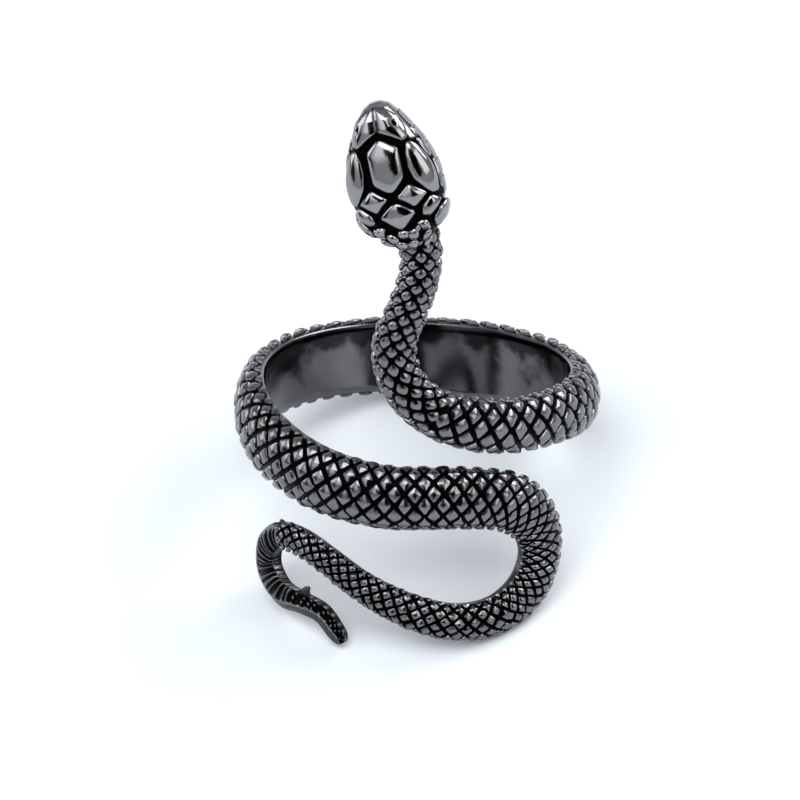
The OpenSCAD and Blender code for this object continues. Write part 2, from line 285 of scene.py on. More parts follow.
def black_nickel(name, top, worn, rough, bumps=0.06, waves=0.1, wave_mm=0.8, specks=0.75,
                 grooves=True):
    """Black nickel in two tones. It is black in the grooves, ragged by so many specks, or without
    grooves it has painted shade inside the band: black clouds that grow towards its upper edge."""
    m = bpy.data.materials.new(name)
    m.use_nodes = True
    tree = m.node_tree
    tree.nodes.clear()
    coords = node(tree, "ShaderNodeTexCoord").outputs["Object"]
    # the soft unevenness of the polish, and its hairlines
    patches = node(tree, "ShaderNodeTexNoise", Vector=coords, Scale=1 / (wave_mm * MM),
                   Detail=2).outputs["Fac"]
    marks = node(tree, "ShaderNodeTexNoise", Vector=coords, Scale=MARKS_PER_MM / MM,
                 Detail=3).outputs["Fac"]
    colour = node(tree, "ShaderNodeMix", {"data_type": "RGBA"}, i0=patches, i6=linear(top),
                  i7=linear(worn)).outputs[2]
    roughness = node(tree, "ShaderNodeMapRange", Value=patches, To_Min=rough - ROUGH_SWING,
                     To_Max=rough + ROUGH_SWING).outputs[0]
    if grooves:
        # the lower a place lies in the relief, the more oxide is left on it
        relief = node(tree, "ShaderNodeAttribute", {"attribute_name": "relief"}).outputs["Fac"]
        ragged = node(tree, "ShaderNodeMath", {"operation": "MULTIPLY_ADD"}, i0=marks,
                      i1=specks, i2=relief).outputs[0]
        polished = node(tree, "ShaderNodeValToRGB", Fac=ragged, stops=(
            (OXIDE_TO, "#000000"), (POLISH_FROM, "#ffffff"))).outputs["Color"]
        colour = node(tree, "ShaderNodeMix", {"data_type": "RGBA"}, i0=polished,
                      i6=linear(OXIDE), i7=colour).outputs[2]
        roughness = node(tree, "ShaderNodeMix", i0=polished, i2=OXIDE_ROUGH,
                         i3=roughness).outputs[0]
    else:
        # the painted shade clouds get denser along the finger's axis
        height = node(tree, "ShaderNodeVectorMath", {"operation": "DOT_PRODUCT"}, i0=coords,
                      i1=FINGER_AXIS.tolist()).outputs["Value"]
        clouds = node(tree, "ShaderNodeTexNoise", Vector=coords, Scale=1 / (CLOUD_MM * MM),
                      Detail=5).outputs["Fac"]
        dark = node(tree, "ShaderNodeMath", {"operation": "MULTIPLY_ADD"}, i0=height,
                    i1=1 / (BORE_SHADE_MM * MM), i2=clouds).outputs[0]
        dark = node(tree, "ShaderNodeMapRange", {"interpolation_type": "SMOOTHSTEP"},
                    Value=dark, From_Min=BORE_SHADE_FROM, From_Max=BORE_SHADE_FROM + BORE_SHADE_SOFT,
                    To_Min=0.0, To_Max=BORE_SHADE_COVER).outputs[0]
        colour = node(tree, "ShaderNodeMix", {"data_type": "RGBA"}, i0=dark, i6=colour,
                      i7=linear(BORE_SHADE)).outputs[2]
    bump = node(tree, "ShaderNodeBump", Strength=waves, Distance=WAVE_DEPTH * MM,
                Height=patches).outputs[0]
    bump = node(tree, "ShaderNodeBump", Strength=bumps, Distance=MARK_DEPTH * MM,
                Height=marks, Normal=bump).outputs[0]
    shader = node(tree, "ShaderNodeBsdfPrincipled", Base_Color=colour, Roughness=roughness,
                  Metallic=1.0, Normal=bump).outputs[0]
    node(tree, "ShaderNodeOutputMaterial", Surface=shader)
    return m


# Black nickel over polished zinc alloy, rubbed back on top: the tops mirror the room in a
# cool grey, and the black oxide left in the grooves draws every scale
NICKEL = black_nickel("polished_black_nickel_oxidised_grooves", "#7c7b7d", "#69686b", 0.14,
                      bumps=0.5)
# The head is polished by hand, so its shields are smoother mirrors than the scales, and they are
# painted lighter than the scales as painted light
HEAD_NICKEL = black_nickel("polished_black_nickel_painted_light", "#929192", "#828182", 0.1,
                           bumps=0.15, specks=0.35)
# The tail is painted darker than the band, with more of the black left on it, as painted shade
TAIL_NICKEL = black_nickel("black_nickel_painted_shade", "#757476", "#5f5e61", 0.11,
                           bumps=0.6, specks=0.45)
# The same plating where the finger rubs it: a plain dark mirror with soft waves, painted darker
# than the outside as shade, with painted black shade in clouds towards the upper edge
BORE_NICKEL = black_nickel("black_nickel_bore_painted_shade", "#68676a", "#565558", 0.12,
                           waves=0.25, wave_mm=1.8, grooves=False)


def finish_piece(piece, angle, *materials):
    for m in materials:
        piece.data.materials.append(m)
    only(piece)
    bpy.ops.object.shade_smooth_by_angle(angle=math.radians(angle))
    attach(piece, "root")
    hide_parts("snake_ring")


# ---------------------------------------------------------------- the body under the scales
BODY_FROM, BODY_TO, BODY_ROWS = 6.9, 36.9, 560
# the plain rim beside the scales: its height and width, and its first step up from the edge
RIM_RISE, RIM_WIDTH, RIM_STEP = 0.03, 0.3, 0.04
# how bright the rim that faces down is, from place to place: mostly painted black, as shade
LOW_RIM_SHADE = ((7, 11, 14.5, 16), (0.3, 0.42, 0.42, 0.1))
# columns round the body: over the top in degrees, down each side as a share of its height with
# how far it bulges, and along the bore as a share of the half width
TURNS = np.concatenate([[0, 3, 6, 9, 12, 16], np.linspace(22, 158, 21),
                        [164, 168, 171, 174, 177, 180]])
SIDE_STEPS = ((0.7, 0.04), (0.35, 0.04), (0.1, 0))
SIDE_CURVE = 0.6
INNER_SHARES = np.array([0.97, 0.8, 0.5, 0.17])
BODY_COLUMNS = len(TURNS) + 2 * len(SIDE_STEPS) + 2 * len(INNER_SHARES)
# a face is part of the bore when it is no further out than this
BORE_SLACK = 0.05


def body_section(t, k):
    """Round the body: over the top from one edge to the other, down the side, along the bore."""
    row = row_at(BODY, t)
    half = row[:, WIDTH] / 2 - SCALE_RISE
    inner_half = half * row[:, BASE]
    foot = np.maximum(row[:, LIFT] - UNDER_DROP, 0)
    edge_top = row[:, LIFT] + EDGE_H + 1 - row[:, BASE]
    turn = TURNS[np.minimum(k, len(TURNS) - 1)]
    near = np.minimum(turn, 180 - turn) * np.pi / 180 * row[:, THICK]
    fade = np.clip(1 - near / RIM_WIDTH, 0, 1)
    # the rim is a quarter round, half as high at its first step
    rise = RIM_RISE * np.sqrt(np.clip(1 - (1 - np.clip(fade * 2, 0, 1)) ** 2, 0, 1))
    rise = np.where(near < RIM_STEP, rise * 0.5, rise)
    across, out = section(t, turn, rise)
    # the rim that faces down is painted black, as shade; the one that faces up is rubbed bright
    low_rim_shade = np.interp(t, *LOW_RIM_SHADE)
    relief = np.clip(fade * 3, 0, 1) * np.where(turn < 90, low_rim_shade, 1)
    extra = k - len(TURNS)
    for j, (s, bulge) in enumerate(SIDE_STEPS):
        wide = inner_half + (half - inner_half) * s ** SIDE_CURVE + bulge
        up = foot + (edge_top - foot) * s
        last = BODY_COLUMNS - len(TURNS) - 1 - j
        for here, side in ((extra == j, -1), (extra == last, 1)):
            across = np.where(here, side * wide, across)
            out = np.where(here, up, out)
            # the side wall under the rim that faces down takes the same painted shade
            relief = np.where(here, low_rim_shade if side > 0 else 1, relief)
    shares = np.concatenate([-INNER_SHARES, INNER_SHARES[::-1]])
    for j, s in enumerate(shares):
        here = extra == len(SIDE_STEPS) + j
        across = np.where(here, s * inner_half, across)
        out = np.where(here, foot, out)
        relief = np.where(here, 1, relief)
    return laid(place(t, across, out)), relief


body = tube("snake_body", np.linspace(BODY_FROM, BODY_TO, BODY_ROWS), BODY_COLUMNS,
            body_section)
finish_piece(body, 50, NICKEL, BORE_NICKEL)
# faces that look at the finger take the burnished finish, with its painted shade
upright = (points_of(body) / MM - REST) @ LAID
for face in body.data.polygons:
    corners = upright[list(face.vertices)]
    if np.hypot(corners[:, 0], corners[:, 1]).max() < BORE_R + BORE_SLACK:
        face.material_index = 1


# ---------------------------------------------------------------- scales
# the nets of scales: the piece, where the net begins and ends, its half rows across the body
NETS = (("tail_scales", 7.15, 13.1, 7), ("band_scales", 12.9, 26.9, 8),
        ("band_scales", 26.8, 30.7, 6), ("neck_scales", 30.4, 36.95, 8))
# the length of a scale as a share of its breadth, from place to place
SCALE_SHARES = ((7, 12.8, 13, 15, 17, 19, 30.4, 30.6, 32, 37),
                (1.15, 1.15, 1.0, 0.88, 0.88, 1.0, 1.0, 1.5, 1.85, 1.85))
# where the scales end beside the plain rims, in degrees over the top: the lower edge and the
# upper one. The rim is wide on the tail, and on the band's left it is under the scales
EDGE_AT = (7, 10, 12, 15, 17.5, 18.7, 20.4, 21.5, 27, 29, 31, 37)
LOW_EDGE = (4, 10, 20, 12, 2, 1, 0, 0, 2, 2, 7, 7)
HIGH_EDGE = (4, 4, 11, 11, 3, 9, 7, -8, -10, 0, 7, 7)
# how much of its net cell a scale fills: the smaller, the wider the black gaps
SCALE_SIZES = ((13, 17, 19, 21, 24, 27, 30, 31), (0.95, 0.96, 0.98, 0.92, 0.93, 0.93, 0.94, 1))
# scales are cut by hand, the tail's less evenly: by what share they come out smaller, how far
# their tops tilt and they stray along the body, how tall they are, and how wavy their outline
UNEVEN = ((13, 16), (1.8, 1))
SHRINK, TILT, STRAY, TALL = (0, 0.07), (-0.18, 0.18), (-0.06, 0.06), (0.92, 1.08)
WAVE_2, WAVE_3, ANY_PHASE = 0.05, 0.04, (0, 6.28)
# only what is higher than this on a scale tilts, so its foot stays in the body
TILTS_ABOVE = 0.3
# the top's middle, within this distance of the axis, stands this much higher
NEAR_MIDDLE, SCALE_CROWN = 0.01, 0.12
# a scale turns from black to bright over this share of its height
BRIGHTENS_OVER = 0.5


def black_below(obj, black_to):
    keep_relief(obj, np.clip((points_of(obj)[:, 2] - black_to) / BRIGHTENS_OVER, 0, 1))


def unit_scales(cut, steps, black_to):
    """A scale over a square net cell, with its corners at 1 from its middle: a square with cut
    corners, drawn up to about 1 in steps, which give its size along and across, and its height.
    It comes with its two halves, which close the rows at the body's lower and upper edge."""
    whole = added(bpy.ops.mesh.primitive_circle_add, vertices=4, radius=1, fill_type="NGON")
    along, across, up = steps[0]
    with editing(whole):
        bpy.ops.transform.translate(value=(0, 0, up))
        bpy.ops.mesh.bevel(offset=cut, segments=2, affect="VERTICES")
        bpy.ops.mesh.select_all(action="SELECT")
        resize(along, across, 1)
        for next_along, next_across, next_up in steps[1:]:
            extrude(0, 0, next_up - up)
            resize(next_along / along, next_across / across, 1)
            along, across, up = next_along, next_across, next_up
        bpy.ops.mesh.poke(offset=0)
    p = points_of(whole)
    # the poked middle stands higher, so the top is domed
    p[np.hypot(p[:, 0], p[:, 1]) < NEAR_MIDDLE, 2] = up + SCALE_CROWN
    put(whole, p)
    face_outwards(whole)
    low_half, high_half = copied(whole), copied(whole)
    for half, side in ((low_half, 1), (high_half, -1)):
        with editing(half):
            bpy.ops.mesh.bisect(plane_co=(0, 0, 0), plane_no=(0, side, 0), use_fill=True,
                                clear_inner=True)
        face_outwards(half)
    for obj in (whole, low_half, high_half):
        black_below(obj, black_to)
    return whole, low_half, high_half


def scale_places(first, last, half_rows):
    """Places along the body, half a scale apart."""
    ts = np.arange(first, last, FINE)
    length = np.interp(ts, *SCALE_SHARES) * row_at(BODY, ts)[:, WIDTH] * 2 / half_rows
    step = np.linalg.norm(np.diff(middle(ts), axis=0), axis=1)
    count = np.concatenate([[0], np.cumsum(step / length[:-1])])
    steps = int(2 * count[-1])
    return np.interp(np.arange(steps + 1) * count[-1] / steps, count, ts)


def scale_copy(unit, places, i, j, half_rows):
    """A scale at net place i along and j across, a little uneven."""
    copy = copied(unit)
    p = points_of(copy)
    uneven = np.interp(places[i], *UNEVEN)
    size = (1 - uneven * random.uniform(*SHRINK)) * np.interp(places[i], *SCALE_SIZES)
    tilt_u, tilt_v = uneven * random.uniform(*TILT), uneven * random.uniform(*TILT)
    along = i + uneven * random.uniform(*STRAY)
    phase_2, phase_3 = random.uniform(*ANY_PHASE), random.uniform(*ANY_PHASE)
    angle = np.arctan2(p[:, 1], p[:, 0])
    size = size * (1 + WAVE_2 * np.sin(2 * angle + phase_2) + WAVE_3 * np.sin(3 * angle + phase_3))
    t = np.interp(along + p[:, 0] * size, np.arange(len(places)), places)
    low, high = np.interp(t, EDGE_AT, LOW_EDGE), np.interp(t, EDGE_AT, HIGH_EDGE)
    turn = low + (180 - low - high) * (j + p[:, 1] * np.minimum(size, 1)) / half_rows
    up = SCALE_RISE * random.uniform(*TALL)
    tilted = p[:, 2] + tilt_u * p[:, 0] + tilt_v * p[:, 1]
    height = np.where(p[:, 2] > TILTS_ABOVE, tilted, p[:, 2]) * up
    put(copy, laid(place(t, *section(t, turn, height))))
    return copy


# broad lozenges on the tail and band, round separate beads of metal on the neck
lozenges = unit_scales(0.22, ((0.88, 0.92, -0.4), (0.83, 0.87, 0.5), (0.73, 0.78, 0.84),
                              (0.45, 0.48, 1.01)), black_to=0.35)
round_scales = unit_scales(0.42, ((0.88, 0.96, -0.4), (0.83, 0.91, 0.5), (0.72, 0.8, 0.85),
                                  (0.43, 0.48, 1.01)), black_to=0.1)
groups = {"tail_scales": [], "band_scales": [], "neck_scales": []}
for name, first, last, half_rows in NETS:
    whole, low_half, high_half = round_scales if name == "neck_scales" else lozenges
    places = scale_places(first, last, half_rows)
    for i in range(1, len(places) - 1):
        for j in range((i + 1) % 2, half_rows + 1, 2):
            unit = low_half if j == 0 else high_half if j == half_rows else whole
            groups[name].append(scale_copy(unit, places, i, j, half_rows))
for unit in lozenges + round_scales:
    bpy.data.objects.remove(unit)
for name, copies in groups.items():
    scales = joined(copies, name)
    # rolling the flat scale up round the finger turned it inside out
    face_outwards(scales)
    finish_piece(scales, 35, TAIL_NICKEL if name == "tail_scales" else NICKEL)

# ---------------------------------------------------------------- the tail's ridged hook
# how far it reaches in rows of the table, its own rows, and how much closer they are at the tip
HOOK_REACH, HOOK_ROWS, HOOK_CROWDING = 7.4, 420, 1.15
# where the crest between the smooth outer bevel and the ridged face runs, degrees over the top
CRESTS = ((0.3, 2.5, 4.5, 7.4), (98, 86, 60, 48))
# columns across it: below 0 on the bevel, 0 at the crest, up to 1 at the inner edge
HOOK_SHARES = np.concatenate([np.linspace(-1, -0.2, 6), [-0.12, -0.06, -0.02, 0.02, 0.06, 0.1],
                              np.linspace(0.15, 0.88, 18), [0.92, 0.96, 1]])
HOOK_INNER = np.array([-1, -0.5, 0.5, 1])
# the ridges: how many, how high, how evenly spaced, where less than 1 sets them further apart
# at the tip, how slanted, and the power that broadens them
HOOK_RIDGES, RIDGE_RISE, RIDGE_EVENNESS, RIDGE_SLANT, RIDGE_POWER = 26, 0.13, 0.85, 1.8, 0.7
# how they wander: how far, how often, and how slanted that is
RIDGE_DRIFTS = ((0.4, 0.9, 0), (0.2, 2.3, 3))
# up to here from the tip other ridges cross them: how often, how slanted, how much higher
CROSSED_TO, CROSS_RATE, CROSS_SLANT, CROSS_GAIN = 3.2, 0.9, 4.5, 1.3
# the ridged face, as shares across, and over how much it starts and ends
FACE_FROM, FACE_TO, FACE_FADE = 0.03, 0.97, 0.1
# the crest's width, as a share across, and its height beside that of the ridges
CREST_WIDTH, CREST_RISE = 0.06, 0.9
# how flat the bevel is: 0 is as round as the body, 1 a plane
BEVEL_FLATNESS = 0.7
# how bright the bevel and the underside are, the underside kept dark as painted shade, and the
# ridges: their tops, the black between them, and the plain edge
BEVEL_SHINE, UNDER_PAINTED_SHADE = 0.45, 0.25
TOP_SHINE, GROOVE_BLACK, EDGE_SHINE = 1.2, 0.55, 0.6
# the tip is rounded over this length, and how blunt it stays
TIP_ROUND, TIP_BLUNT = 0.8, 0.95


def hook_section(t, k):
    """Round the hook: up the bevel to the crest, over the ridged face, back along the bore."""
    share = HOOK_SHARES[np.minimum(k, len(HOOK_SHARES) - 1)]
    crest = np.interp(t, *CRESTS)
    turn = np.where(share < 0, crest * (1 + share), crest + (180 - crest) * share)
    count = 2 * HOOK_RIDGES * (np.clip(t, 0, None) / HOOK_REACH) ** (1 / RIDGE_EVENNESS)
    uneven = count
    for far, often, slant in RIDGE_DRIFTS:
        uneven = uneven + far * np.sin(often * count + slant * share)
    ridge = 0.5 - 0.5 * np.cos(np.pi * (uneven + RIDGE_SLANT * share))
    # near the tip the ridges are crossed, which leaves small rough scales
    crossing = 0.5 - 0.5 * np.cos(np.pi * (count * CROSS_RATE - CROSS_SLANT * share))
    ridge = np.where(t < CROSSED_TO, ridge * crossing * CROSS_GAIN, ridge ** RIDGE_POWER)
    face = (np.clip((share - FACE_FROM) / FACE_FADE, 0, 1)
            * np.clip((FACE_TO - share) / FACE_FADE, 0, 1))
    line = np.exp(-(share / CREST_WIDTH) ** 2)
    rise = face * RIDGE_RISE * ridge + line * RIDGE_RISE * CREST_RISE
    across, out = section(t, turn, rise)
    # the bevel is nearly flat from the outer edge up to the crest
    edge_a, edge_o = section(t, 0 * turn, 0)
    top_a, top_o = section(t, crest, RIDGE_RISE * CREST_RISE)
    up = np.clip(1 + share, 0, 1)
    flat = BEVEL_FLATNESS * (share < -FACE_FROM)
    across = across + flat * (edge_a + (top_a - edge_a) * up - across)
    out = out + flat * (edge_o + (top_o - edge_o) * up - out)
    ridge_relief = ridge * TOP_SHINE - GROOVE_BLACK + EDGE_SHINE * (1 - face)
    relief = np.where(share < CREST_WIDTH, BEVEL_SHINE + line, np.clip(ridge_relief, 0, 1))
    row = row_at(BODY, t)
    half = (row[:, WIDTH] / 2 - SCALE_RISE) * row[:, BASE]
    # the underside along the bore is painted dark, as shade
    for j, s in enumerate(HOOK_INNER):
        here = k - len(HOOK_SHARES) == j
        across = np.where(here, s * half, across)
        out = np.where(here, row[:, LIFT] - UNDER_DROP, out)
        relief = np.where(here, UNDER_PAINTED_SHADE, relief)
    # the tip is rounded off in plan
    tip = np.sqrt(1 - np.clip(1 - t / TIP_ROUND, 0, TIP_BLUNT) ** 2)
    return laid(place(t, across * tip, out)), relief


# the small spur on the hook's inner edge: its place along and out from the bore, its size
# along, thick and across, in mm, and how it leans and narrows from step to step
BARB_AT, BARB_OUT, BARB_SIZE, MM_PER_ROW = 2.85, 0.45, (0.36, 0.28, 0.34), 1.5
BARB_STEPS, BARB_STEP, BARB_TAPER = ((0.08, 0.95), (0.15, 0.85), (0.2, 0.6)), 0.28, 0.6
BARB_SHINE = 0.5


def barb():
    """A cone drawn out to a point that leans to the hook's tip."""
    obj = added(bpy.ops.mesh.primitive_cone_add, vertices=12, radius1=1, radius2=0.7, depth=1)
    with editing(obj):
        bpy.ops.mesh.select_all(action="DESELECT")
    for face in obj.data.polygons:
        face.select = face.normal.z > 0.9
    bpy.ops.object.mode_set(mode="EDIT")
    for forward, share in BARB_STEPS:
        extrude(forward, 0, BARB_STEP)
        resize(share, share, BARB_TAPER)
    bpy.ops.object.mode_set(mode="OBJECT")
    p = points_of(obj)
    half = row_at(BODY, np.array(BARB_AT))[WIDTH] / 2 - SCALE_RISE
    along, thick, across = BARB_SIZE
    put(obj, laid(place(BARB_AT - p[:, 0] * along / MM_PER_ROW, -half - p[:, 2] * across,
                        BARB_OUT + p[:, 1] * thick)))
    keep_relief(obj, np.full(len(p), BARB_SHINE))
    face_outwards(obj)
    return obj


hook = tube("tail_hook", HOOK_REACH * np.linspace(0, 1, HOOK_ROWS) ** HOOK_CROWDING,
            len(HOOK_SHARES) + len(HOOK_INNER), hook_section)
finish_piece(joined([hook, barb()], "tail_hook"), 50, TAIL_NICKEL)

# ---------------------------------------------------------------- the head
# along from the neck to the nose, half width, height above the middle, depth below it
HEAD = np.array([
    (-0.7, 0.9, 0.7, 0.7), (0, 1.6, 1.15, 0.95), (0.7, 2.13, 1.4, 1.05), (1.6, 2.5, 1.6, 1.15),
    (2.6, 2.66, 1.7, 1.2), (3.8, 2.61, 1.7, 1.2), (5.2, 2.2, 1.6, 1.15), (6.2, 1.68, 1.4, 1.05),
    (7.05, 1.17, 1.15, 0.9), (7.57, 0.75, 0.85, 0.7), (7.78, 0.35, 0.4, 0.35),
])
ALONG, HALF, ABOVE, BELOW = range(4)
# where it is round the finger, which way it points and how it rolls, its base along the
# finger, and how far its middle line stands to the side and out from the bore, in mm
HEAD_ANGLE, HEAD_YAW, HEAD_ROLL = math.radians(-5), math.radians(14.5), math.radians(6)
HEAD_BASE, HEAD_SIDE, HEAD_LIFT = 13.6, 0.54, 2.2
# the lower, the fuller the head's cross section: 1 is an ellipse
HEAD_FULL = 0.8
# its rows are spaced by a cosine between these angles, closest together at both ends
HEAD_ROWS, HEAD_COLUMNS, HEAD_SPACING = 60, 48, (0.02, math.pi)
# the black between the shields: so many degrees either side of the top, and so far along
BLACK_ZONES, BLACK_BACK = ((58, 7.2), (84, 5.7)), 1.5
BLACK_FADE_TURN, BLACK_FADE_ALONG, BLACK_FADE_BACK = 8, 0.2, 0.3


def head_row(along):
    return row_at(HEAD, np.interp(along, HEAD[:, ALONG], np.arange(len(HEAD))))


def full(v):
    return np.sign(v) * np.abs(v) ** HEAD_FULL


def head_skin(turn, along, rise):
    """On the head: turn is 0 at its right side, 90 on top, 180 at its left and 270 below."""
    row, a = head_row(along), np.radians(turn)
    c, s = np.cos(a), np.sin(a)
    tall = np.where(s > 0, row[..., ABOVE], row[..., BELOW])
    nx, nz = tall * c, row[..., HALF] * s
    n = np.hypot(nx, nz)
    q = np.stack([row[..., HALF] * full(c) + rise * nx / n, along + 0 * a,
                  tall * full(s) + rise * nz / n], -1)
    q = q @ (turn_z(HEAD_YAW) @ turn_y(-HEAD_ROLL)).T @ turn_x(math.pi / 2).T
    q = q + [HEAD_SIDE, -BORE_R - HEAD_LIFT, HEAD_BASE]
    return laid(q @ turn_z(HEAD_ANGLE).T)


def turned(corners):
    """Corners given across and along, as turn and along."""
    c = np.array(corners, float)
    share = np.clip(c[:, 0] / head_row(c[:, 1])[:, HALF], -1, 1)
    turn = np.degrees(np.arccos(np.sign(share) * np.abs(share) ** (1 / HEAD_FULL)))
    return np.stack([turn, c[:, 1]], 1)


def core_section(t, k):
    along = HEAD[0, ALONG] + (HEAD[-1, ALONG] - HEAD[0, ALONG]) * t
    turn = -k * 360 / HEAD_COLUMNS
    # black between the shields on top, polished on the sides, below and at the tip
    side = np.abs((turn % 360) - 90)
    black = np.clip((BLACK_BACK - along) / BLACK_FADE_BACK, 0, 1)
    for degrees, reach in BLACK_ZONES:
        zone = (np.clip((degrees - side) / BLACK_FADE_TURN, 0, 1)
                * np.clip((reach - along) / BLACK_FADE_ALONG, 0, 1))
        black = np.maximum(black, zone)
    return head_skin(turn, along, 0 * t), 1 - black


head_core = tube("head_core", 0.5 - 0.5 * np.cos(np.linspace(*HEAD_SPACING, HEAD_ROWS)),
                 HEAD_COLUMNS, core_section)
finish_piece(head_core, 60, HEAD_NICKEL)

# ---------------------------------------------------------------- shields, lips, beads and eyes
# a shield is drawn on the head unrolled, at its mean radius of 2.3 mm
MM_PER_TURN = 2.3 * math.pi / 180
PLATE_RISE = 0.28
# an outline's points are this far apart, and a corner's rounding takes up to this share of a side
POINT_SPACING, LEAST_POINTS, CORNER_SHARE = 0.14, 12, 0.45
# the lower, the further a sharp corner moves out when an outline grows
SHARPEST_MITRE = 0.8
# a shield starts this deep in the head, and its upright foot is this share of its height
SHIELD_ROOT, FOOT_SHARE = 0.2, 0.45
# its edge, as shares of the bevel and of the height, and then its crown: how much smaller each
# step is, and how much of the crown it adds
EDGE_STEPS = ((0.35, 0.35), (0.65, 0.2))
CROWN_STEPS = ((0.7, 0.5), (0.55, 0.3), (0.4, 0.15))
# or else a pillow's sizes on the way up, and the two powers that give its curve
PILLOW_SIZES, PILLOW_IN, PILLOW_OUT = (0.96, 0.91, 0.84, 0.75, 0.62, 0.46, 0.28, 0.1), 2.4, 0.65
# black up to this share of the height, and bright after so much more
SHIELD_BLACK_TO, SHIELD_BRIGHTENS = 0.3, 0.5
# a dimple is a little longer than wide, and blacker than it is deep
DIMPLE_LONG, DIMPLE_BLACK = 0.8, 1.2


def outline(corners, rounding):
    """A closed outline with rounded corners, as evenly spaced points."""
    c = np.array(corners, float)
    points = []
    for k in range(len(c)):
        a, b, d = c[k - 1], c[k], c[(k + 1) % len(c)]
        back, on = a - b, d - b
        cut = min(rounding, CORNER_SHARE * np.linalg.norm(back), CORNER_SHARE * np.linalg.norm(on))
        p, q = b + back / np.linalg.norm(back) * cut, b + on / np.linalg.norm(on) * cut
        points += [(1 - f) ** 2 * p + 2 * f * (1 - f) * b + f * f * q
                   for f in (0, 0.25, 0.5, 0.75, 1)]
    points = np.array(points)
    ring = np.vstack([points, points[:1]])
    at = np.concatenate([[0], np.cumsum(np.linalg.norm(np.diff(ring, axis=0), axis=1))])
    n = max(LEAST_POINTS, int(at[-1] / POINT_SPACING))
    s = np.arange(n) * at[-1] / n
    return np.stack([np.interp(s, at, ring[:, 0]), np.interp(s, at, ring[:, 1])], 1)


def grown(flat, by):
    """An outline that goes round anticlockwise, moved outwards all round."""
    back, on = flat - np.roll(flat, 1, 0), np.roll(flat, -1, 0) - flat
    n1 = np.stack([back[:, 1], -back[:, 0]], 1) / np.linalg.norm(back, axis=1)[:, None]
    n2 = np.stack([on[:, 1], -on[:, 0]], 1) / np.linalg.norm(on, axis=1)[:, None]
    mitre = n1 + n2
    return flat + by * mitre / np.maximum((mitre * n1).sum(1), SHARPEST_MITRE)[:, None]


def shield(corners, height=PLATE_RISE, rounding=0.16, bevel=0.13, crown=0.12, grow=0.08,
           pillow=0, dimple=None):
    """A raised shield on the head over corners [turn, along]: a steep foot, a rounded edge
    and a gently crowned top, or a pillow. A dimple is a place, a radius and a depth."""
    flat = np.array([((90 - a) * MM_PER_TURN, b) for a, b in corners])
    ring = outline(grown(flat, grow), rounding)
    obj = added(bpy.ops.mesh.primitive_circle_add, vertices=len(ring), radius=1,
                fill_type="NGON")
    put(obj, np.column_stack([ring, np.full(len(ring), -SHIELD_ROOT)]))
    with editing(obj):
        extrude(0, 0, SHIELD_ROOT + height * FOOT_SHARE)
        if pillow:
            size, level = 1, 0
            for s in PILLOW_SIZES:
                up = pillow * (1 - s ** PILLOW_IN) ** PILLOW_OUT
                extrude(0, 0, up - level)
                resize(s / size, s / size, 1)
                size, level = s, up
        else:
            for inwards, up in EDGE_STEPS:
                bpy.ops.mesh.inset(thickness=bevel * inwards, depth=height * up)
            for s, up in CROWN_STEPS:
                extrude(0, 0, crown * up)
                resize(s, s, 1)
        bpy.ops.mesh.poke(offset=0)
        if dimple:
            bpy.ops.mesh.select_all(action="SELECT")
            bpy.ops.mesh.subdivide(number_cuts=3)
    p = points_of(obj)
    relief = np.clip((p[:, 2] - height * SHIELD_BLACK_TO) / (height * SHIELD_BRIGHTENS), 0, 1)
    if dimple:
        spot, radius, depth = dimple
        turn, along = turned([spot])[0]
        x = abs(90 - turn) * MM_PER_TURN * np.sign(ring[:, 0].mean())
        off = np.hypot(p[:, 0] - x, (p[:, 1] - along) * DIMPLE_LONG) / radius
        fall = np.clip(1 - off ** 2, 0, 1) * (p[:, 2] > 0)
        p[:, 2] -= depth * fall
        relief -= fall * DIMPLE_BLACK
    put(obj, head_skin(90 - p[:, 0] / MM_PER_TURN, p[:, 1], p[:, 2]))
    keep_relief(obj, np.clip(relief, 0, 1))
    face_outwards(obj)
    return obj


def both_sides(corners, **shape):
    mirrored = np.array([(180 - a, b) for a, b in corners[::-1]])
    return [shield(corners, **shape), shield(mirrored, **shape)]


# the shields on top, as across and along, in mm
NOSE = [(0.0, 6.4), (0.65, 6.08), (1.27, 5.65), (1.5, 5.78), (1.4, 6.4), (1.1, 7.0),
        (0.64, 7.46), (0.0, 7.66)]
BROW = [(1.3, 4.9), (1.31, 4.2), (1.5, 3.4), (1.85, 2.85), (2.15, 2.42), (2.4, 2.45),
        (2.47, 3.15), (2.38, 3.95), (2.14, 4.65), (1.82, 5.28), (1.6, 5.48), (1.42, 5.45)]
CROWN = [(0.35, 2.6), (1.08, 1.92), (1.84, 2.52), (1.05, 3.2)]
NAPE = [(1.5, 1.8), (1.38, 1.3), (1.72, 1.2), (2.1, 1.5), (2.36, 1.9), (2.0, 2.25)]
COLLAR = [(0.92, 0.9), (1.1, 0.42), (1.42, 0.3), (1.45, 0.8), (1.25, 0.97)]
FOREHEAD = [(0, 2.97), (0.82, 3.7), (0.88, 5.35), (0, 5.92), (-0.72, 5.35), (-0.76, 3.55)]
OCCIPUT = [(0, 0.72), (0.98, 1.57), (0.1, 2.25), (-0.9, 1.55)]
